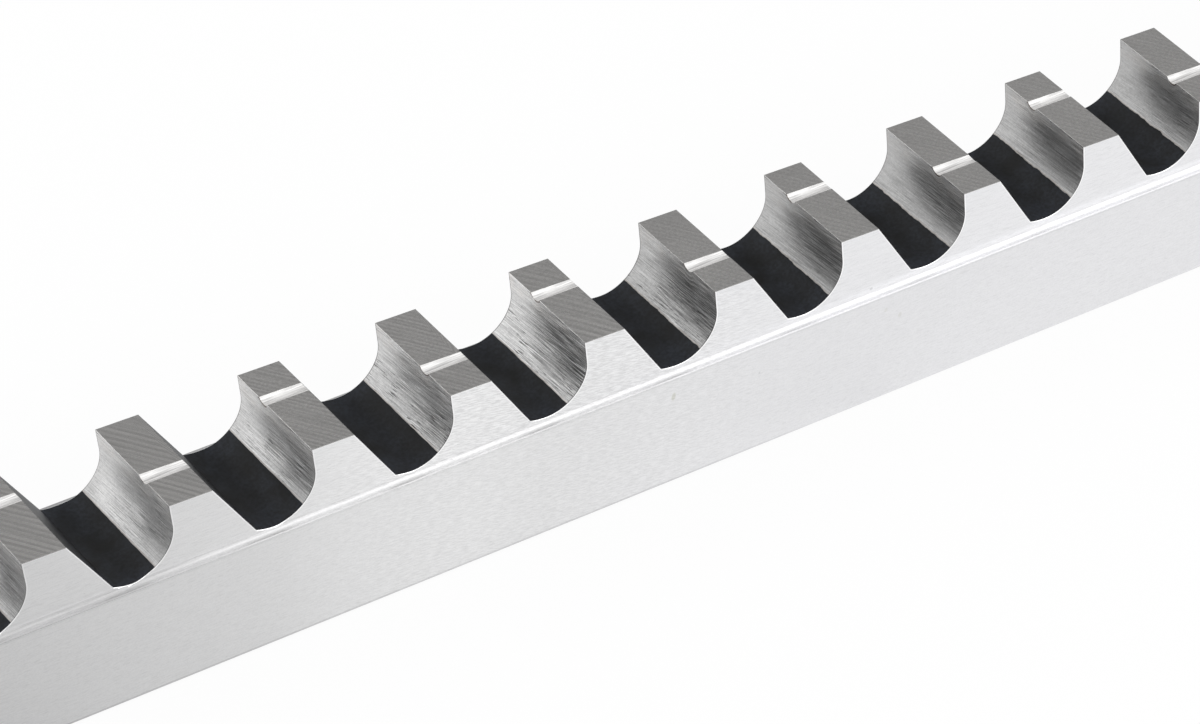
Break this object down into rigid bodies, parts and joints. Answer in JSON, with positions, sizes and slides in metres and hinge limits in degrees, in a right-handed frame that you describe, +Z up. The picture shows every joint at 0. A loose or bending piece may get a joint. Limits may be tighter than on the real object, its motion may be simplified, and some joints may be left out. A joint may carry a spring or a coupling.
{
  "type": "keyway broach",
  "caption": "Long stepped steel bar whose narrower rib carries hooked cutting teeth that rise along it, pushed through a bore to cut a keyway.",
  "frame": {"origin": "middle of the flat bottom of the bar", "axes": "+X along the bar, from the pilot that enters the bore first to the end that is pushed; +Z up, out of the teeth; +Y across the bar, along the cutting edges"},
  "size_m": [0.298, 0.009, 0.015],
  "materials": {
    "ground_steel": "finely ground tool steel, dark and unground in the bottoms of the gullets"
  },
  "bodies": {
    "root": {"broach": "ground_steel"}
  },
  "joints": []
}
